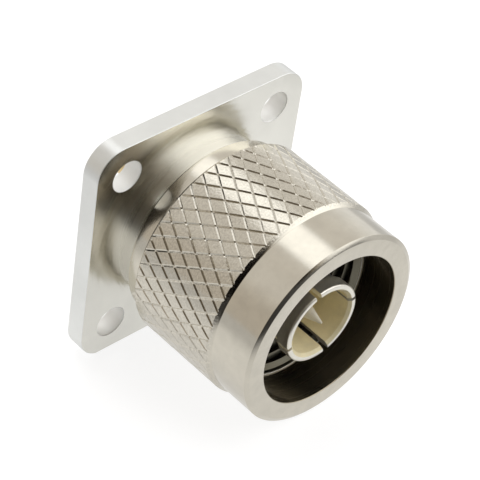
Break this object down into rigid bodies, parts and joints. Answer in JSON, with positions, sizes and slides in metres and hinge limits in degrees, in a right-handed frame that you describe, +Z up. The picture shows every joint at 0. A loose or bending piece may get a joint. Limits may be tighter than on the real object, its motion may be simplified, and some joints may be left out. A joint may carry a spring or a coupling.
{
  "type": "n type connector",
  "caption": "Coaxial plug with a square panel flange, a free-turning knurled coupling nut, a slotted outer contact, a centre pin and a rear solder cup.",
  "frame": {"origin": "centre of the flange's mounting face, on the connector's axis", "axes": "+X along the connector's axis out of the mating end, +Z up, with the flange's sides along Y and Z"},
  "size_m": [0.0296, 0.0254, 0.0254],
  "materials": {
    "nickel_plate": "bright nickel plate on brass",
    "gold_plate": "thin gold plate on brass",
    "spring_bronze": "plain bronze",
    "white_insulator": "waxy white",
    "gasket_rubber": "matt"
  },
  "bodies": {
    "body": {"flange_body": "nickel_plate", "outer_contact": "nickel_plate", "centre_contact": "gold_plate", "front_insulator": "white_insulator", "rear_insulator": "white_insulator", "retaining_ring": "spring_bronze", "gasket": "gasket_rubber"},
    "nut": {"coupling_nut": "nickel_plate"}
  },
  "joints": [
    {"name": "nut_spin", "type": "hinge", "parent": "body", "child": "nut", "pos_m": [0, 0, 0], "axis": [1, 0, 0], "continuous": true}
  ]
}
